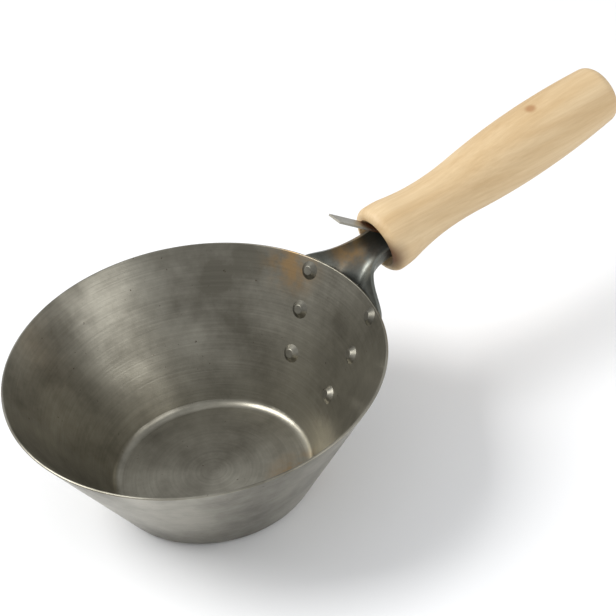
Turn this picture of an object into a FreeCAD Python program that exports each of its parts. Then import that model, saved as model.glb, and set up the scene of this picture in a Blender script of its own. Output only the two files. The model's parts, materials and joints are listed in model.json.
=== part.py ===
"""Pouring ladle: a sheet-steel bowl, a pressed bracket riveted to it, and a turned wooden grip.

Frame, in millimetres: the origin is the centre of the bowl's flat base, +Z is up, and the grip
points along +X. The ladle is made of ten separate pieces: bowl, bracket, grip, wedge strip and
six rivets.
"""
import FreeCAD, Part
import math
import os

import Sketcher

# Driving dimensions: name, value in millimetres or degrees, and what it is.
SIZES = (
    ("rim_radius", 90.0, "outer radius of the bowl at its rim"),
    ("bowl_height", 70.8, "height of the rim's outer edge"),
    ("base_radius", 48.4, "radius where the wall's outside would meet the ground"),
    ("bowl_sheet", 1.2, "thickness of the bowl's sheet"),
    ("corner_radius", 5.0, "inner radius between base and wall"),
    ("rim_rounding", 0.4, "rounding of the rim's two edges"),
    ("bracket_sheet", 1.5, "thickness of the bracket's sheet"),
    ("plate_bottom", 17.0, "height of the riveted plate's lower edge"),
    ("plate_bottom_width", 42.0, "width of the plate along its lower edge"),
    ("plate_top_width", 64.0, "width of the plate at its shoulders"),
    ("shoulder_below_rim", 10.0, "how far below the rim the plate reaches its full width"),
    ("plate_corner", 9.0, "rounding of the plate's lower corners"),
    ("bend_below_rim", 4.0, "distance down the wall from the rim to where the bracket bends away"),
    ("bend_radius", 26.0, "radius of the bend from the wall to the grip"),
    ("neck_width", 27.6, "width of the flat sheet that is rolled into the tang"),
    ("trough_width", 17.0, "width of the pressed trough"),
    ("trough_depth", 6.2, "depth of the pressed trough at the rim"),
    ("trough_fade", 26.0, "length over which the trough fades out down the plate"),
    ("trough_lift", 1.2, "how far the trough's edges stand off the wall at the rim"),
    ("lift_width", 36.0, "width of the strip of plate that stands off the wall"),
    ("grip_front", 106.8, "distance from the bowl's axis to the grip's front face"),
    ("grip_front_height", 83.15, "height of the grip's axis at its front face"),
    ("grip_tilt", 7.9, "upward slope of the grip, in degrees"),
    ("grip_length", 146.8, "length of the grip"),
    ("lip_radius", 17.25, "largest radius of the grip's flared front"),
    ("lip_station", 6.0, "distance of that radius from the front face"),
    ("lip_rounding", 4.2, "rounding of the grip's front edge"),
    ("waist_radius", 14.0, "radius of the grip's waist"),
    ("waist_station", 38.0, "distance of the waist from the front face"),
    ("belly_radius", 17.2, "radius of the grip's belly"),
    ("belly_station", 97.0, "distance of the belly from the front face"),
    ("butt_radius", 14.6, "radius of the grip where its end rounds over"),
    ("butt_rounding", 6.0, "rounding of the grip's end"),
    ("butt_dome", 2.0, "bulge of the grip's end face"),
    ("bore_radius", 9.8, "radius of the hole for the tang"),
    ("bore_mouth_radius", 12.8, "radius of the hole at the front face"),
    ("bore_mouth_depth", 6.0, "depth over which the hole narrows"),
    ("tang_depth", 70.0, "length of the tang inside the grip, which is also the depth of the hole"),
    ("tang_clearance", 0.2, "gap between the tang and the hole"),
    ("shank_radius", 2.5, "radius of a rivet's shank"),
    ("shank_clearance", 0.05, "gap between a shank and its hole"),
    ("head_radius", 4.6, "radius of a rivet head at its base"),
    ("head_height", 2.0, "height of a rivet head"),
    ("head_top_radius", 2.2, "radius of the flat on a rivet head"),
    ("head_rounding", 0.8, "rounding of a rivet head's upper edge"),
    ("strip_sheet", 1.0, "thickness of the wedge strip"),
    ("strip_width", 8.8, "width of the wedge strip"),
    ("strip_offset", 4.4, "sideways distance of the strip's middle from the grip's axis"),
    ("strip_bend_radius", 3.0, "inner radius of the strip's bend"),
    ("strip_bend_station", 6.3, "distance of the strip's bend inside the front face"),
    ("strip_tail", 32.0, "length of the strip from its bend to its free end"),
    ("strip_insert", 30.0, "length of the strip from its bend to its inner end"),
    ("strip_turn", 46.0, "angle between the strip's free end and the grip's axis"),
)

# The six rivets: piece name, angle about the bowl's axis in degrees, and height.
RIVETS = (
    ("rivet_upper_left", 16.0, 65.4),
    ("rivet_middle_left", 16.2, 48.0),
    ("rivet_lower_left", 15.3, 28.4),
    ("rivet_upper_right", -16.9, 66.0),
    ("rivet_middle_right", -17.3, 46.8),
    ("rivet_lower_right", -15.4, 24.6),
)

# Slope of the wall, measured from the vertical.
WALL = "atan((sizes.rim_radius - sizes.base_radius) / sizes.bowl_height)"

# How far cutting tools run past what they cut, and how deep a head starts in the sheet under it.
OVERSHOOT = 6.0
HEAD_OVERLAP = 0.8


def make_sheet(doc):
    """Return the spreadsheet that holds the driving dimensions."""
    sheet = doc.addObject("Spreadsheet::Sheet", "sizes")
    rows = list(SIZES)
    for name, angle, height in RIVETS:
        rows.append((name + "_angle", angle, "angle of " + name + " about the bowl's axis"))
        rows.append((name + "_height", height, "height of " + name))
    for number, (alias, value, meaning) in enumerate(rows, start=1):
        sheet.set("A%d" % number, meaning)
        sheet.set("B%d" % number, str(value))
        sheet.setAlias("B%d" % number, alias)
    doc.recompute()
    return sheet


def value_of(owner, expression):
    """Return the number that an expression stands for."""
    result = owner.evalExpression(expression)
    return float(getattr(result, "Value", result))


def origin_plane(body, role):
    """Return one of a body's own origin planes."""
    return next(item for item in body.Origin.OriginFeatures if item.Role == role)


def bind_point(sketch, geometry, position, label, place):
    """Hold one end of a sketch line at a place given by two expressions."""
    for axis, kind, expression in zip("xy", ("DistanceX", "DistanceY"), place):
        name = "%s_%s" % (label, axis)
        number = value_of(sketch, expression)
        rule = Sketcher.Constraint(kind, -1, 1, geometry, position, number)
        sketch.renameConstraint(sketch.addConstraint(rule), name)
        sketch.setExpression("Constraints." + name, expression)


def add_profile(body, name, role, corners, arcs=()):
    """Draw a closed profile through corners that are given by expressions.

    arcs maps the number of a corner to the expression for the first coordinate of the centre of
    the arc that leaves it; every other side is straight.
    """
    sketch = body.newObject("Sketcher::SketchObject", name)
    sketch.AttachmentSupport = [(origin_plane(body, role), "")]
    sketch.MapMode = "FlatFace"
    arcs = dict(arcs)
    places = [FreeCAD.Vector(value_of(body, x), value_of(body, y), 0) for x, y in corners]
    ends = []
    for number, start in enumerate(places):
        finish = places[(number + 1) % len(places)]
        if number not in arcs:
            side = sketch.addGeometry(Part.LineSegment(start, finish))
            ends.append((side, 1, 2))
            continue
        across = value_of(body, arcs[number])
        rise = (finish.x - across) ** 2 - (start.x - across) ** 2 + finish.y**2 - start.y**2
        centre = FreeCAD.Vector(across, rise / (2 * (finish.y - start.y)), 0)
        radius = centre.distanceToPoint(start)
        angles = [math.atan2(p.y - centre.y, p.x - centre.x) for p in (start, finish)]
        forward = (angles[1] - angles[0]) % (2 * math.pi) < math.pi
        circle = Part.Circle(centre, FreeCAD.Vector(0, 0, 1), radius)
        first, last = angles if forward else reversed(angles)
        side = sketch.addGeometry(Part.ArcOfCircle(circle, first, last))
        ends.append((side, 1, 2) if forward else (side, 2, 1))
        label = "centre_%d" % number
        rule = Sketcher.Constraint("DistanceX", -1, 1, side, 3, across)
        sketch.renameConstraint(sketch.addConstraint(rule), label)
        sketch.setExpression("Constraints." + label, arcs[number])
    for number, (side, begin, _) in enumerate(ends):
        before = ends[number - 1]
        sketch.addConstraint(Sketcher.Constraint("Coincident", before[0], before[2], side, begin))
        bind_point(sketch, side, begin, "corner_%d" % number, corners[number])
    return sketch


def revolve(body, name, sketch, axis):
    """Turn a profile all the way round one axis of its sketch."""
    feature = body.newObject("PartDesign::Revolution", name)
    feature.Profile = sketch
    feature.ReferenceAxis = (sketch, [axis])
    feature.Angle = 360
    return feature


def round_edges(doc, body, name, wanted, expression):
    """Round the edges of a body's newest feature that the test accepts."""
    doc.recompute()
    base = body.Tip
    found = ["Edge%d" % n for n, edge in enumerate(base.Shape.Edges, start=1) if wanted(edge)]
    feature = body.newObject("PartDesign::Fillet", name)
    feature.Base = (base, found)
    feature.setExpression("Radius", expression)
    return feature


def is_ring(radius, along, axis="z"):
    """Return a test for a circular edge of one radius at one place along an axis."""

    def test(edge):
        if edge.Degenerated or not isinstance(edge.Curve, Part.Circle):
            return False
        place = getattr(edge.Curve.Center, axis)
        return abs(edge.Curve.Radius - radius) < 0.01 and abs(place - along) < 0.01

    return test


def make_bowl(doc, holes):
    """Bowl: one disc of sheet spun to a flat base, a rounded corner and a plain flared wall."""
    body = doc.addObject("PartDesign::Body", "bowl_body")
    inner_base = (
        "sizes.base_radius + sizes.bowl_sheet * tan(%s) - sizes.bowl_sheet / cos(%s)" % (WALL, WALL)
    )
    inner_rim = "sizes.rim_radius - sizes.bowl_sheet * cos(%s)" % WALL
    inner_rim_height = "sizes.bowl_height + sizes.bowl_sheet * sin(%s)" % WALL
    corners = (
        ("0", "0"),
        ("sizes.base_radius", "0"),
        ("sizes.rim_radius", "sizes.bowl_height"),
        (inner_rim, inner_rim_height),
        (inner_base, "sizes.bowl_sheet"),
        ("0", "sizes.bowl_sheet"),
    )
    sketch = add_profile(body, "bowl_profile", "XZ_Plane", corners)
    revolve(body, "bowl_wall", sketch, "V_Axis")
    rings = {name: value_of(body, "sizes." + name) for name in ("base_radius", "rim_radius")}
    sheet = value_of(body, "sizes.bowl_sheet")
    height = value_of(body, "sizes.bowl_height")
    outer_corner = is_ring(rings["base_radius"], 0)
    inner_corner = is_ring(value_of(body, inner_base), sheet)
    outer_rim = is_ring(rings["rim_radius"], height)
    inner_lip = is_ring(value_of(body, inner_rim), value_of(body, inner_rim_height))
    round_edges(doc, body, "outer_corner", outer_corner, "sizes.corner_radius + sizes.bowl_sheet")
    round_edges(doc, body, "inner_corner", inner_corner, "sizes.corner_radius")
    either = lambda edge: outer_rim(edge) or inner_lip(edge)
    round_edges(doc, body, "rim_edges", either, "sizes.rim_rounding")
    bowl = doc.addObject("Part::Cut", "bowl")
    bowl.Base = body
    bowl.Tool = holes
    return bowl


def smooth(amount):
    """Ease from 0 to 1 as the amount goes from 0 to 1."""
    amount = min(max(amount, 0.0), 1.0)
    return amount * amount * (3 - 2 * amount)


class Bracket:
    """Shape of the bracket's sheet, worked out from the sizes in the spreadsheet.

    A station is a length along the sheet's middle line: negative down the wall, zero where the
    sheet bends away from it, positive along the bend and the tang. At each station the sheet is
    described in the plane square to that line by a sideways distance and a distance outwards.
    """

    def __init__(self, sheet):
        for name in (row[0] for row in SIZES):
            setattr(self, name, float(sheet.get(name)))
        self.wall = math.atan((self.rim_radius - self.base_radius) / self.bowl_height)
        self.tilt = math.radians(self.grip_tilt)
        self.turn = math.pi / 2 - self.wall - self.tilt
        self.bend_length = self.bend_radius * self.turn
        self.start = FreeCAD.Vector(
            self.rim_radius - self.bend_below_rim * math.sin(self.wall),
            0,
            self.bowl_height - self.bend_below_rim * math.cos(self.wall),
        )
        self.tang_radius = self.bore_radius - self.tang_clearance - self.bracket_sheet
        bend_end, outward = self.frame(self.bend_length)
        grip = FreeCAD.Vector(self.grip_front, 0, self.grip_front_height)
        self.axis_rise = (grip - bend_end).dot(outward)
        along = FreeCAD.Vector(math.cos(self.tilt), 0, math.sin(self.tilt))
        self.mouth = self.bend_length + (grip - bend_end).dot(along)
        self.tang_end = self.mouth + self.tang_depth

    def frame(self, station):
        """Return the middle line's place and outward direction at a station."""
        slope = math.pi / 2 - self.wall
        run = min(max(station, 0.0), self.bend_length)
        here = slope - run / self.bend_radius
        place = self.start + FreeCAD.Vector(
            self.bend_radius * (math.sin(slope) - math.sin(here)),
            0,
            self.bend_radius * (math.cos(here) - math.cos(slope)),
        )
        place = place + FreeCAD.Vector(math.cos(here), 0, math.sin(here)) * (station - run)
        return place, FreeCAD.Vector(math.sin(here), 0, -math.cos(here))

    def half_width(self, station):
        """Return half the width of the flat sheet at a station."""
        widest = self.plate_top_width / 2 + self.bracket_sheet
        neck = self.neck_width / 2
        left = 1 - min(max((station + 1) / (self.mouth + 1), 0.0), 1.0)
        return neck + (widest - neck) * left * left

    def columns(self, station):
        """Return sideways distances on the flat sheet, from its middle to its edge."""
        fold = self.trough_width / 2
        outside = self.half_width(station) - 1.15 * fold
        inner = [fold * share for share in (0, 0.3, 0.55, 0.8, 1.0, 1.15)]
        return inner + [1.15 * fold + outside * share for share in (0.33, 0.66, 1.0)]

    def pressed(self, station, across):
        """Return the place on the pressed sheet where it lies along the wall."""
        shown = smooth((station + self.trough_fade) / self.trough_fade)
        wall_radius = self.rim_radius + min(station, 0.0) * math.sin(self.wall)
        hug = across * across * math.cos(self.wall) / (2 * wall_radius)
        fold = self.trough_width / 2
        trough = (1 + math.cos(math.pi * min(across / fold, 1.0))) / 2
        free = 1 - smooth((across - fold) / (self.lift_width / 2 - fold))
        return across, shown * (self.trough_depth * trough + self.trough_lift * free) - hug

    def rolled(self, across):
        """Return the place on the sheet where it is rolled into the tang."""
        radius = self.tang_radius
        angle = min(across / radius, math.pi / 2)
        beyond = across - radius * angle
        return radius * math.sin(angle), self.axis_rise + radius * math.cos(angle) - beyond

    def point(self, station, across):
        """Return the point of the sheet's inner face at a station, a distance across it."""
        side = math.copysign(1, across)
        roll = smooth(station / self.mouth)
        flat = self.pressed(station, abs(across))
        tube = self.rolled(abs(across))
        sideways, outwards = (a + (b - a) * roll for a, b in zip(flat, tube))
        seat = SEAT_OVERLAP * (1 - smooth(station / self.bend_length))
        place, outward = self.frame(station)
        return place + outward * (outwards - seat) + FreeCAD.Vector(0, side * sideways, 0)

    def stations(self):
        """Return the stations that the surface is drawn through."""
        lowest = (self.plate_bottom - self.start.z) / math.cos(self.wall) - self.bracket_sheet
        wall = spread(lowest, 0, 12)
        bend = spread(0, self.mouth, 8)[1:]
        tang = spread(self.mouth, self.tang_end, 8)[1:]
        return wall + bend + tang

    def placed(self, station, across, raised):
        """Return a point of the sheet, raised off its inner face by a distance."""
        here = self.point(station, across)
        ahead = self.point(station + NUDGE, across) - self.point(station - NUDGE, across)
        aside = self.point(station, across + NUDGE) - self.point(station, across - NUDGE)
        square = aside.cross(ahead)
        return here + square.normalize() * raised

    def surface(self, raised):
        """Return the smooth surface of the sheet, raised off its inner face by a distance."""
        grid = []
        for station in self.stations():
            half = self.columns(station)
            across = [-distance for distance in reversed(half[1:])] + half
            grid.append([self.placed(station, distance, raised) for distance in across])
        knots = [len(grid) - SMOOTHNESS + 1, len(grid[0]) - SMOOTHNESS + 1]
        mults = [[SMOOTHNESS + 1] + [1] * (count - 2) + [SMOOTHNESS + 1] for count in knots]
        surface = Part.BSplineSurface()
        surface.buildFromPolesMultsKnots(
            grid, mults[0], mults[1], list(range(knots[0])), list(range(knots[1])),
            False, False, SMOOTHNESS, SMOOTHNESS,
        )
        return surface

    def solid(self):
        """Return the pressed sheet as a solid, with its inner face towards the bowl."""
        faces = [self.surface(raised).toShape() for raised in (0, self.bracket_sheet)]
        rims = [self.borders(raised) for raised in (0, self.bracket_sheet)]
        faces += [Part.makeRuledSurface(inner, outer) for inner, outer in zip(*rims)]
        shell = Part.Shell(faces)
        shell.sewShape()
        solid = Part.makeSolid(shell)
        if solid.Volume < 0:
            solid.reverse()
        return solid

    def borders(self, raised):
        """Return the four edges of the sheet's surface."""
        surface = self.surface(raised)
        u_first, u_last, v_first, v_last = surface.bounds()
        curves = [surface.uIso(u_first), surface.uIso(u_last)]
        curves += [surface.vIso(v_first), surface.vIso(v_last)]
        return [curve.toShape() for curve in curves]


# How deep the flat plate starts inside the wall before the wall's own shape is cut from it.
SEAT_OVERLAP = 0.12

# Step over which slopes of the sheet are taken, and the degree of its surface.
NUDGE = 0.01
SMOOTHNESS = 3


def spread(first, last, steps):
    """Return evenly spaced numbers from the first to the last."""
    return [first + (last - first) * step / steps for step in range(steps + 1)]


def place_on_wall(item, name, start):
    """Stand a tool or rivet on the bowl's wall, square to it, at its own angle and height."""
    radius = "(sizes.base_radius + sizes.%s_height * tan(%s))" % (name, WALL)
    reach = "(%s + (%s) * cos(%s))" % (radius, start, WALL)
    angle = "sizes.%s_angle" % name
    spot = "create(<<vector>>; %s * cos(%s); %s * sin(%s); sizes.%s_height - (%s) * sin(%s))" % (
        reach, angle, reach, angle, name, start, WALL,
    )
    turn = "create(<<rotation>>; %s; 90 + %s / 1 deg; 0)" % (angle, WALL)
    item.setExpression("Placement", "create(<<placement>>; %s; %s)" % (spot, turn))


def make_holes(doc):
    """Return the six rivet holes as one tool that is cut from the bowl and the bracket."""
    drills = []
    for name, _, _ in RIVETS:
        drill = doc.addObject("Part::Cylinder", name + "_drill")
        drill.setExpression("Radius", "sizes.shank_radius + sizes.shank_clearance")
        drill.setExpression("Height", "sizes.bowl_sheet + sizes.bracket_sheet + %g" % (2 * OVERSHOOT))
        place_on_wall(drill, name, "-sizes.bowl_sheet - %g" % OVERSHOOT)
        drills.append(drill)
    holes = doc.addObject("Part::MultiFuse", "rivet_holes")
    holes.Shapes = drills
    return holes


def make_outline(doc):
    """Return a prism along X with the outline of the riveted plate, left open upwards."""
    body = doc.addObject("PartDesign::Body", "plate_outline")
    top = "sizes.grip_front_height + sizes.grip_length"
    shoulder = "sizes.bowl_height - sizes.shoulder_below_rim"
    right = (
        ("sizes.plate_bottom_width / 2", "sizes.plate_bottom"),
        ("sizes.plate_top_width / 2", shoulder),
        ("sizes.plate_top_width / 2", top),
    )
    left = tuple(("-" + across, height) for across, height in reversed(right))
    sketch = add_profile(body, "plate_profile", "YZ_Plane", right + left)
    pad = body.newObject("PartDesign::Pad", "plate_pad")
    pad.Profile = sketch
    pad.setExpression("Length", "sizes.grip_front + sizes.grip_length")
    bottom = value_of(body, "sizes.plate_bottom")

    def lower_corner(edge):
        ends = [vertex.Point for vertex in edge.Vertexes]
        return all(abs(p.z - bottom) < 0.01 for p in ends) and abs(ends[0].y - ends[1].y) < 0.01

    round_edges(doc, body, "plate_corners", lower_corner, "sizes.plate_corner")
    return body


def make_bracket(doc, sheet, holes):
    """Bracket: one pressing, with a riveted plate, a trough over the rim and a rolled tang."""
    pressing = doc.addObject("Part::Feature", "pressed_sheet")
    pressing.Shape = Bracket(sheet).solid()
    trimmed = doc.addObject("Part::Common", "trimmed_sheet")
    trimmed.Base = pressing
    trimmed.Tool = make_outline(doc)
    seated = doc.addObject("Part::Cut", "seated_sheet")
    seated.Base = trimmed
    seated.Tool = make_cone(doc, "wall_outside", "0")
    bracket = doc.addObject("Part::Cut", "bracket")
    bracket.Base = seated
    bracket.Tool = holes
    return bracket, seated


def place_on_grip(item, sideways):
    """Lay a piece along the grip's axis, starting at the grip's front face."""
    spot = "create(<<vector>>; sizes.grip_front; %s; sizes.grip_front_height)" % sideways
    turn = "create(<<rotation>>; 0; -sizes.grip_tilt; 0)"
    item.setExpression("Placement", "create(<<placement>>; %s; %s)" % (spot, turn))


def between(first, last, share):
    """Return the expression for a value part of the way from one size to another."""
    return "(sizes.%s + %s * (sizes.%s - sizes.%s))" % (first, share, last, first)


# Where the two arcs of the grip's flare, and of its swell, meet along their chord.
FLARE_SHARE = "0.25"
SWELL_SHARE = "0.3"


def make_grip(doc):
    """Grip: turned wood with a flared front, a waist, a belly and a hole for the tang."""
    body = doc.addObject("PartDesign::Body", "grip")
    flare = tuple(between("lip" + end, "waist" + end, FLARE_SHARE) for end in ("_station", "_radius"))
    swell = tuple(between("waist" + end, "belly" + end, SWELL_SHARE) for end in ("_station", "_radius"))
    end_radius = "(sizes.butt_radius ^ 2 + sizes.butt_dome ^ 2) / (2 * sizes.butt_dome)"
    corners = (
        ("sizes.tang_depth", "0"),
        ("sizes.tang_depth", "sizes.bore_radius"),
        ("sizes.bore_mouth_depth", "sizes.bore_radius"),
        ("0", "sizes.bore_mouth_radius"),
        ("0", "sizes.lip_radius"),
        ("sizes.lip_station", "sizes.lip_radius"),
        flare,
        ("sizes.waist_station", "sizes.waist_radius"),
        swell,
        ("sizes.belly_station", "sizes.belly_radius"),
        ("sizes.grip_length - sizes.butt_dome", "sizes.butt_radius"),
        ("sizes.grip_length", "0"),
    )
    centres = {
        5: "sizes.lip_station",
        6: "sizes.waist_station",
        7: "sizes.waist_station",
        8: "sizes.belly_station",
        9: "sizes.belly_station",
        10: "sizes.grip_length - " + end_radius,
    }
    sketch = add_profile(body, "grip_profile", "XZ_Plane", corners, centres)
    revolve(body, "grip_turning", sketch, "H_Axis")
    front = is_ring(value_of(body, "sizes.lip_radius"), 0, "x")
    end = is_ring(
        value_of(body, "sizes.butt_radius"), value_of(body, "sizes.grip_length - sizes.butt_dome"), "x"
    )
    round_edges(doc, body, "front_rounding", front, "sizes.lip_rounding")
    round_edges(doc, body, "end_rounding", end, "sizes.butt_rounding")
    place_on_grip(body, "0")
    return body


def make_wedge_strip(doc):
    """Wedge strip: a flat strip on the tang's edges, bent up where it leaves the grip."""
    body = doc.addObject("PartDesign::Body", "wedge_strip")
    seat = "(sizes.neck_width / 2 - (%s) * pi / 2)" % (
        "sizes.bore_radius - sizes.tang_clearance - sizes.bracket_sheet"
    )
    inner_end = "sizes.strip_bend_station + sizes.strip_insert"
    tip = (
        "sizes.strip_bend_station - sizes.strip_tail * cos(sizes.strip_turn)",
        seat + " + sizes.strip_tail * sin(sizes.strip_turn)",
    )
    corners = (
        (inner_end, seat),
        ("sizes.strip_bend_station", seat),
        tip,
        (
            tip[0] + " + sizes.strip_sheet * sin(sizes.strip_turn)",
            tip[1] + " + sizes.strip_sheet * cos(sizes.strip_turn)",
        ),
        (
            "sizes.strip_bend_station + sizes.strip_sheet * tan(sizes.strip_turn / 2)",
            seat + " + sizes.strip_sheet",
        ),
        (inner_end, seat + " + sizes.strip_sheet"),
    )
    sketch = add_profile(body, "strip_profile", "XZ_Plane", corners)
    pad = body.newObject("PartDesign::Pad", "strip_pad")
    pad.Profile = sketch
    pad.Midplane = True
    pad.setExpression("Length", "sizes.strip_width")
    places = [FreeCAD.Vector(value_of(body, corners[n][0]), 0, value_of(body, corners[n][1])) for n in (1, 4)]

    def bend_line(number):
        spot = places[number]

        def test(edge):
            ends = [vertex.Point for vertex in edge.Vertexes]
            return all(abs(p.x - spot.x) < 0.01 and abs(p.z - spot.z) < 0.01 for p in ends)

        return test

    outer = "sizes.strip_bend_radius + sizes.strip_sheet"
    round_edges(doc, body, "outer_bend", bend_line(0), outer)
    round_edges(doc, body, "inner_bend", bend_line(1), "sizes.strip_bend_radius")
    place_on_grip(body, "sizes.strip_offset")
    return body


def make_head(doc, name, way, sheet):
    """Return one head of a rivet, started a little inside the sheet that it sits on.

    way is "" for the outer head and "-" for the inner one.
    """
    body = doc.addObject("PartDesign::Body", name)
    base = "%s(%s)" % (way, sheet)
    top = "%s(%s + sizes.head_height)" % (way, sheet)
    root = "%s(%s - %g)" % (way, sheet, HEAD_OVERLAP)
    corners = (
        ("0", top),
        ("sizes.head_top_radius", top),
        ("sizes.head_radius", base),
        ("sizes.head_radius", root),
        ("0", root),
    )
    sketch = add_profile(body, name + "_profile", "XZ_Plane", corners)
    revolve(body, name + "_turning", sketch, "V_Axis")
    rim = is_ring(value_of(body, "sizes.head_top_radius"), value_of(body, top))
    round_edges(doc, body, name + "_rounding", rim, "sizes.head_rounding")
    return body


def make_rivet(doc, name, hollow, plate):
    """Rivet: a shank through both sheets with a flat-topped head on each side."""
    shank = doc.addObject("Part::Cylinder", name + "_shank")
    shank.setExpression("Radius", "sizes.shank_radius")
    shank.setExpression("Height", "sizes.bowl_sheet + sizes.bracket_sheet + sizes.head_height")
    place_on_wall(shank, name, "-sizes.bowl_sheet - sizes.head_height / 2")
    outer = make_head(doc, name + "_outer_head", "", "sizes.bracket_sheet")
    inner = make_head(doc, name + "_inner_head", "-", "sizes.bowl_sheet")
    place_on_wall(outer, name, "0")
    place_on_wall(inner, name, "0")
    outside = doc.addObject("Part::Cut", name + "_outside")
    outside.Base = outer
    outside.Tool = plate
    inside = doc.addObject("Part::Common", name + "_inside")
    inside.Base = inner
    inside.Tool = hollow
    rivet = doc.addObject("Part::MultiFuse", name)
    rivet.Shapes = [shank, outside, inside]
    return rivet


def make_cone(doc, name, inwards):
    """Return the space inside the wall's outer face, or that face moved inwards."""
    cone = doc.addObject("Part::Cone", name)
    cone.setExpression("Radius1", "sizes.base_radius - (%s) / cos(%s)" % (inwards, WALL))
    cone.setExpression("Radius2", "sizes.rim_radius - (%s) / cos(%s)" % (inwards, WALL))
    cone.setExpression("Height", "sizes.bowl_height")
    return cone


def check(doc, pieces):
    """Stop if any object failed or a piece isn't one valid solid."""
    for item in doc.Objects:
        if "Invalid" in item.State or "Error" in item.State:
            raise ValueError(item.Name + " failed")
    for piece in pieces:
        if piece.Shape.isNull() or not piece.Shape.isValid() or len(piece.Shape.Solids) != 1:
            raise ValueError(piece.Name + " isn't one valid solid")


def main():
    """Build the ladle and write one STEP file for each piece."""
    doc = FreeCAD.newDocument("ladle")
    sheet = make_sheet(doc)
    holes = make_holes(doc)
    bowl = make_bowl(doc, holes)
    bracket, plate = make_bracket(doc, sheet, holes)
    pieces = [bowl, bracket, make_grip(doc), make_wedge_strip(doc)]
    hollow = make_cone(doc, "wall_inside", "sizes.bowl_sheet")
    doc.recompute()
    pieces += [make_rivet(doc, name, hollow, plate) for name, _, _ in RIVETS]
    doc.recompute()
    check(doc, pieces)
    os.makedirs("parts", exist_ok=True)
    for piece in pieces:
        piece.Shape.exportStep("parts/%s.step" % piece.Label)
        box = piece.Shape.BoundBox
        print(piece.Label, round(piece.Shape.Volume, 1), box)


main()
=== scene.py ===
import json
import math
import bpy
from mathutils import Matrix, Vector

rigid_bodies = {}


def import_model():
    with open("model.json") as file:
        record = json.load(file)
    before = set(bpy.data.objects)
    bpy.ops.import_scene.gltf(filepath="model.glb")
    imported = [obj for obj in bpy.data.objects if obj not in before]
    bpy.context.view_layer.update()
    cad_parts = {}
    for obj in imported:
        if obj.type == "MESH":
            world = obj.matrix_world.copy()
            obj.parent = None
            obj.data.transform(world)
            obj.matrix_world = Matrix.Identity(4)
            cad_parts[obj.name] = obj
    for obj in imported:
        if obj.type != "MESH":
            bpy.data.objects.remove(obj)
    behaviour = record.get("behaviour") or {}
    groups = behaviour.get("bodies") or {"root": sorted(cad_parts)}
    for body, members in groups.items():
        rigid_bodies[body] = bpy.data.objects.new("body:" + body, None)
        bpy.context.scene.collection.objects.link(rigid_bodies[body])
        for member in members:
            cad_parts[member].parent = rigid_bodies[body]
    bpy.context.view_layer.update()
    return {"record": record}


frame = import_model()

# %% [markdown]
# # A pouring ladle
# The ladle is a bowl spun from one disc of sheet steel, a pressed bracket riveted to it, and a
# turned wooden grip on the bracket's tang. The solids already have these shapes, so this scene
# gives each of them its finish, a floor, light and a camera.

# %% [markdown]
# ## Helpers for materials
# A material is a small graph of nodes. One helper adds a node and fills its inputs, which keeps
# every material below short enough to read as a recipe.


# %% Helpers for materials
def add(tree, kind, links=None, **values):
    """Add a node, set its properties and plain inputs, and link the others."""
    node = tree.nodes.new(kind)
    for name, value in values.items():
        setattr(node, name, value)
    for socket, source in (links or {}).items():
        if isinstance(source, bpy.types.NodeSocket):
            tree.links.new(source, node.inputs[socket])
        else:
            node.inputs[socket].default_value = source
    return node


def new_material(name):
    """Return a new material, its node tree and its Principled shader."""
    material = bpy.data.materials.new(name)
    material.use_nodes = True
    tree = material.node_tree
    return material, tree, tree.nodes["Principled BSDF"]


def near(tree, place, centre, radius, softness):
    """Return a mask that is 1 around a centre and fades to 0 at a radius."""
    gap = add(tree, "ShaderNodeVectorMath", {0: place, 1: centre}, operation="DISTANCE")
    low = radius * (1 - softness)
    spread = add(tree, "ShaderNodeMapRange", {"Value": gap.outputs["Value"], "From Min": low,
                 "From Max": radius, "To Min": 1.0, "To Max": 0.0}, interpolation_type="SMOOTHSTEP")
    return spread.outputs["Result"]


def tint(tree, below, colour, mask):
    """Lay a colour over another one where a mask is light."""
    mix = add(tree, "ShaderNodeMix", {0: mask, 6: below, 7: colour}, data_type="RGBA")
    return mix.outputs[2]


# %% [markdown]
# ## Blotches
# Worn metal and bare wood are never one even colour. This group turns a position into soft
# blotches between 0 and 1, with the size of the blotches and their contrast as inputs. It is a
# group because every finish below uses it.

# %% Blotches
blotches = bpy.data.node_groups.new("Blotches", "ShaderNodeTree")
for label, kind in (("Vector", "NodeSocketVector"), ("Scale", "NodeSocketFloat"),
                    ("Low", "NodeSocketFloat"), ("High", "NodeSocketFloat")):
    blotches.interface.new_socket(label, in_out="INPUT", socket_type=kind)
blotches.interface.new_socket("Mask", in_out="OUTPUT", socket_type="NodeSocketFloat")
entry = blotches.nodes.new("NodeGroupInput")
leave = blotches.nodes.new("NodeGroupOutput")
cloud = add(blotches, "ShaderNodeTexNoise", {"Vector": entry.outputs["Vector"],
            "Scale": entry.outputs["Scale"], "Detail": 6.0, "Roughness": 0.6})
stretch = add(blotches, "ShaderNodeMapRange", {"Value": cloud.outputs["Fac"],
             "From Min": entry.outputs["Low"], "From Max": entry.outputs["High"]})
blotches.links.new(stretch.outputs["Result"], leave.inputs["Mask"])


def blotch(tree, place, scale, low, high):
    """Use the group of blotches in a material."""
    node = tree.nodes.new("ShaderNodeGroup")
    node.node_tree = blotches
    tree.links.new(place, node.inputs["Vector"])
    for label, value in (("Scale", scale), ("Low", low), ("High", high)):
        node.inputs[label].default_value = value
    return node.outputs["Mask"]


print("group ready:", blotches.name)

# %% [markdown]
# ## Spun steel
# A spun bowl keeps fine rings from the tool, so its grain has to run round the axis. The grain is
# noise read from the distance to the axis and the height, and almost not from the angle. Brown
# scale marks the rim beside the bracket, where the metal was heated.


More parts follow.
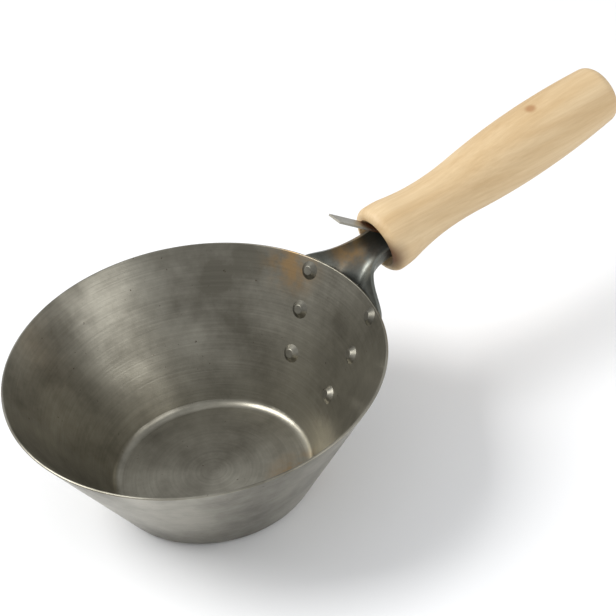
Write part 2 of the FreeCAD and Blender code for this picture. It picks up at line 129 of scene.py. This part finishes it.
# %% Spun steel
def steel(name, dark, light, rings, rough, marks):
    """Return a worn steel. rings is how strongly the grain circles the upright axis."""
    material, tree, shader = new_material(name)
    place = add(tree, "ShaderNodeTexCoord").outputs["Object"]
    parts = add(tree, "ShaderNodeSeparateXYZ", {0: place})
    flat = add(tree, "ShaderNodeVectorMath", {0: place, 1: (1.0, 1.0, 0.0)}, operation="MULTIPLY")
    radius = add(tree, "ShaderNodeVectorMath", {0: flat.outputs[0]}, operation="LENGTH")
    circled = add(tree, "ShaderNodeCombineXYZ", {0: radius.outputs["Value"], 2: parts.outputs["Z"]})
    drift = add(tree, "ShaderNodeVectorMath", {0: place, 1: (0.03, 0.03, 0.0)}, operation="MULTIPLY")
    ringed = add(tree, "ShaderNodeVectorMath", {0: circled.outputs[0], 1: drift.outputs[0]})
    grain_place = ringed.outputs[0] if rings else place
    grain = blotch(tree, grain_place, 900.0, 0.3, 0.7)
    cloud = blotch(tree, place, 28.0, 0.35, 0.65)
    specks = blotch(tree, place, 420.0, 0.68, 0.74)
    colour = tint(tree, dark, light, cloud)
    fine = tint(tree, (0.72, 0.72, 0.72, 1), (1, 1, 1, 1), grain)
    shaded = add(tree, "ShaderNodeMix", {0: 0.6, 6: colour, 7: fine}, data_type="RGBA",
                 blend_type="MULTIPLY").outputs[2]
    shaded = tint(tree, shaded, (0.07, 0.05, 0.035, 1), specks)
    patchy = blotch(tree, place, 120.0, 0.35, 0.6)
    for centre, reach, stain in marks:
        spot = near(tree, place, centre, reach, 0.8)
        both = add(tree, "ShaderNodeMath", {0: spot, 1: patchy}, operation="MULTIPLY")
        shaded = tint(tree, shaded, stain, both.outputs[0])
    tree.links.new(shaded, shader.inputs["Base Color"])
    shader.inputs["Metallic"].default_value = 0.9
    gloss = add(tree, "ShaderNodeMapRange", {"Value": cloud, "To Min": rough + 0.08, "To Max": rough})
    tree.links.new(gloss.outputs["Result"], shader.inputs["Roughness"])
    bump = add(tree, "ShaderNodeBump", {"Strength": 0.12, "Distance": 0.0002, "Height": grain})
    tree.links.new(bump.outputs["Normal"], shader.inputs["Normal"])
    print("finish ready:", name)
    return material


SCORCH = (0.30, 0.20, 0.10, 1)
RUST = (0.34, 0.12, 0.035, 1)
bowl_steel = steel("Spun steel", (0.17, 0.158, 0.125, 1), (0.37, 0.35, 0.29, 1), True, 0.30, (
    ((0.076, 0.032, 0.069), 0.022, SCORCH),
    ((0.030, -0.030, 0.0), 0.020, SCORCH),
    ((-0.030, -0.020, 0.0), 0.018, SCORCH),
))

# %% [markdown]
# ## Pressed steel, rivets and strip
# The bracket is duller and darker than the bowl, because a press leaves the mill surface on.
# The loose strip has rust where it enters the grip, which is why it takes a centre of its own.

# %% Pressed steel, rivets and strip
bracket_steel = steel("Pressed steel", (0.13, 0.135, 0.12, 1), (0.30, 0.31, 0.28, 1), False, 0.38, (
    ((0.098, 0.010, 0.080), 0.016, SCORCH),
))
rivet_steel = steel("Rivet steel", (0.12, 0.115, 0.095, 1), (0.28, 0.265, 0.22, 1), False, 0.36, ())
strip_steel = steel("Strip steel", (0.26, 0.24, 0.20, 1), (0.42, 0.40, 0.34, 1), False, 0.42, (
    ((0.107, 0.004, 0.087), 0.012, RUST),
))

# %% [markdown]
# ## Turned wood
# Wood fibres run along the grip, so the noise is squeezed across it and stretched along it.
# A dark brown patch round the mouth of the hole is painted shade for the hole, and a small knot
# sits near the middle.


# %% Turned wood
def wood():
    """Return a pale bare wood with its fibres along X."""
    material, tree, shader = new_material("Turned wood")
    place = add(tree, "ShaderNodeTexCoord").outputs["Object"]
    along = add(tree, "ShaderNodeMapping", {"Vector": place, "Scale": (1.0, 14.0, 14.0)})
    fibres = blotch(tree, along.outputs[0], 60.0, 0.3, 0.7)
    bands = blotch(tree, along.outputs[0], 6.0, 0.35, 0.65)
    base = tint(tree, (0.62, 0.43, 0.22, 1), (0.74, 0.56, 0.33, 1), bands)
    pores = tint(tree, (0.80, 0.76, 0.72, 1), (1, 1, 1, 1), fibres)
    base = add(tree, "ShaderNodeMix", {0: 0.5, 6: base, 7: pores}, data_type="RGBA",
               blend_type="MULTIPLY").outputs[2]
    # The first spot is painted shade, a dark brown patch round the mouth of the hole. The second is a
    # knot.
    for centre, reach, colour in (
        ((0.107, -0.010, 0.083), 0.012, (0.16, 0.08, 0.04, 1)),
        ((0.205, 0.0, 0.114), 0.004, (0.45, 0.25, 0.11, 1)),
    ):
        base = tint(tree, base, colour, near(tree, place, centre, reach, 0.7))
    tree.links.new(base, shader.inputs["Base Color"])
    rough = add(tree, "ShaderNodeMapRange", {"Value": fibres, "To Min": 0.62, "To Max": 0.5})
    tree.links.new(rough.outputs["Result"], shader.inputs["Roughness"])
    bump = add(tree, "ShaderNodeBump", {"Strength": 0.15, "Distance": 0.0003, "Height": fibres})
    tree.links.new(bump.outputs["Normal"], shader.inputs["Normal"])
    return material


grip_wood = wood()
print("finish ready:", grip_wood.name)

# %% [markdown]
# ## Give each piece its finish
# The pieces keep their shapes and material slots. Only what fills each slot changes.

# %% Give each piece its finish
finishes = {"bowl_steel": bowl_steel, "bracket_steel": bracket_steel, "rivet_steel": rivet_steel,
            "strip_steel": strip_steel, "grip_wood": grip_wood}
for part in frame["record"]["subparts"]:
    piece = bpy.data.objects[part["node"]]
    for holder in piece.material_slots:
        holder.material = finishes[part["material_slot"]]
    print(piece.name, "has", finishes[part["material_slot"]].name)

# %% [markdown]
# ## Floor and light
# A pale floor and one large soft light from the upper left give the gentle bands that a curved
# sheet of metal shows. The surroundings are white to the camera and dimmer to everything else,
# so that the metal has something darker to reflect.

# %% Floor and light
bpy.ops.object.select_all(action="DESELECT")
FLOOR_WIDTH = 6.0
bpy.ops.mesh.primitive_plane_add(size=FLOOR_WIDTH, location=(0, 0, 0))
floor = bpy.context.object
floor.name = "floor"
floor_paint, _, floor_shader = new_material("Pale floor")
floor_shader.inputs["Base Color"].default_value = (0.93, 0.93, 0.93, 1)
floor_shader.inputs["Roughness"].default_value = 0.9
floor.data.materials.append(floor_paint)

# The direction of view: its bearing, its dip below level, and the turn about its own axis.
AZIMUTH = math.radians(59.13)
HEIGHT = math.radians(38.96)
TURN = math.radians(7.65)
ahead = Vector((math.cos(HEIGHT) * math.cos(AZIMUTH), math.cos(HEIGHT) * math.sin(AZIMUTH),
                -math.sin(HEIGHT)))
right = Vector((math.sin(AZIMUTH), -math.cos(AZIMUTH), 0))
up = right.cross(ahead)


# The point on the ladle that both lights face.
LIT_PLACE = Vector((0.05, 0, 0.04))


def soft_light(name, place, width, power):
    """Add a large square light that faces the ladle."""
    bpy.ops.object.light_add(type="AREA", location=place)
    lamp = bpy.context.object
    lamp.name = name
    lamp.data.size = width
    lamp.data.energy = power
    lamp.rotation_euler = (LIT_PLACE - place).to_track_quat("-Z", "Y").to_euler()


level = Vector((ahead.x, ahead.y, 0)).normalized()
soft_light("key", right * -0.9 + level * 0.1 + Vector((0, 0, 1.1)), 0.7, 16.0)
soft_light("fill", right * 1.0 - level * 0.6 + Vector((0, 0, 0.9)), 1.0, 5.0)

world = bpy.context.scene.world or bpy.data.worlds.new("World")
bpy.context.scene.world = world
world.use_nodes = True
sky = world.node_tree
sky.nodes.clear()
path = sky.nodes.new("ShaderNodeLightPath")
white = add(sky, "ShaderNodeBackground", {"Color": (1, 1, 1, 1), "Strength": 1.0})
dim = add(sky, "ShaderNodeBackground", {"Color": (0.95, 0.97, 1, 1), "Strength": 0.62})
choice = add(sky, "ShaderNodeMixShader", {0: path.outputs["Is Camera Ray"],
             1: dim.outputs[0], 2: white.outputs[0]})
add(sky, "ShaderNodeOutputWorld", {"Surface": choice.outputs[0]})
print("floor and lights ready")

# %% [markdown]
# ## Camera
# A long lens from above the bowl's left side keeps the rim's ellipse true. The camera is turned
# a little about its own axis, as a hand-held one is.

# %% Camera
DISTANCE = 0.9479
SIDE = 0.0554
RISE = 0.04936
# The lens length, as a multiple of the sensor's width.
FOCUS = 3.2467532
spot = Vector((0, 0, 0.03)) - ahead * DISTANCE + right * SIDE + up * RISE
bpy.ops.object.camera_add(location=spot)
camera = bpy.context.object
across = right * math.cos(TURN) - up * math.sin(TURN)
upward = right * math.sin(TURN) + up * math.cos(TURN)
camera.matrix_world = Matrix.Translation(spot) @ Matrix((across, upward, -ahead)).transposed().to_4x4()
SENSOR = 36.0
camera.data.sensor_width = SENSOR
camera.data.lens = FOCUS * SENSOR
bpy.context.scene.camera = camera
bpy.context.scene.view_settings.view_transform = "Standard"
